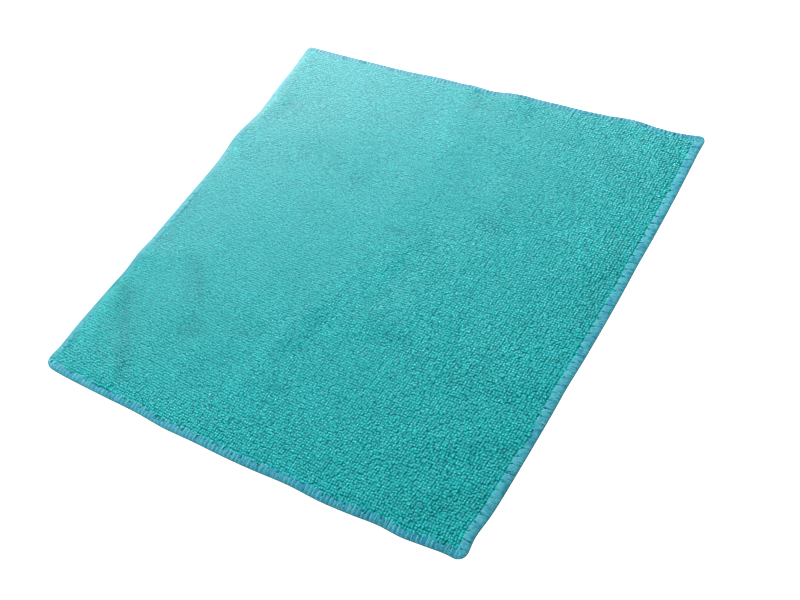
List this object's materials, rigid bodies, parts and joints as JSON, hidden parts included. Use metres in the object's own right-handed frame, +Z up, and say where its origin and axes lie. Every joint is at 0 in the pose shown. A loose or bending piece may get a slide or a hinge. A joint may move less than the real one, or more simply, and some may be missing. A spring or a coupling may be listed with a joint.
{
  "type": "microfibre cleaning cloth",
  "caption": "Square terry cleaning cloth with an overlocked hem, opened out of its folds and lying flat.",
  "frame": {"origin": "middle of the cloth's bounding box, on the surface that it lies on", "axes": "+Z up through the cloth; +X along the far and near hems, +Y from the near hem to the far one"},
  "size_m": [0.3012, 0.3022, 0.0048],
  "materials": {
    "teal_terry": "matt looped microfibre pile, teal, with an overlocked hem in a slightly bluer soft thread"
  },
  "bodies": {
    "root": {"cloth_sheet": "teal_terry"}
  },
  "joints": []
}
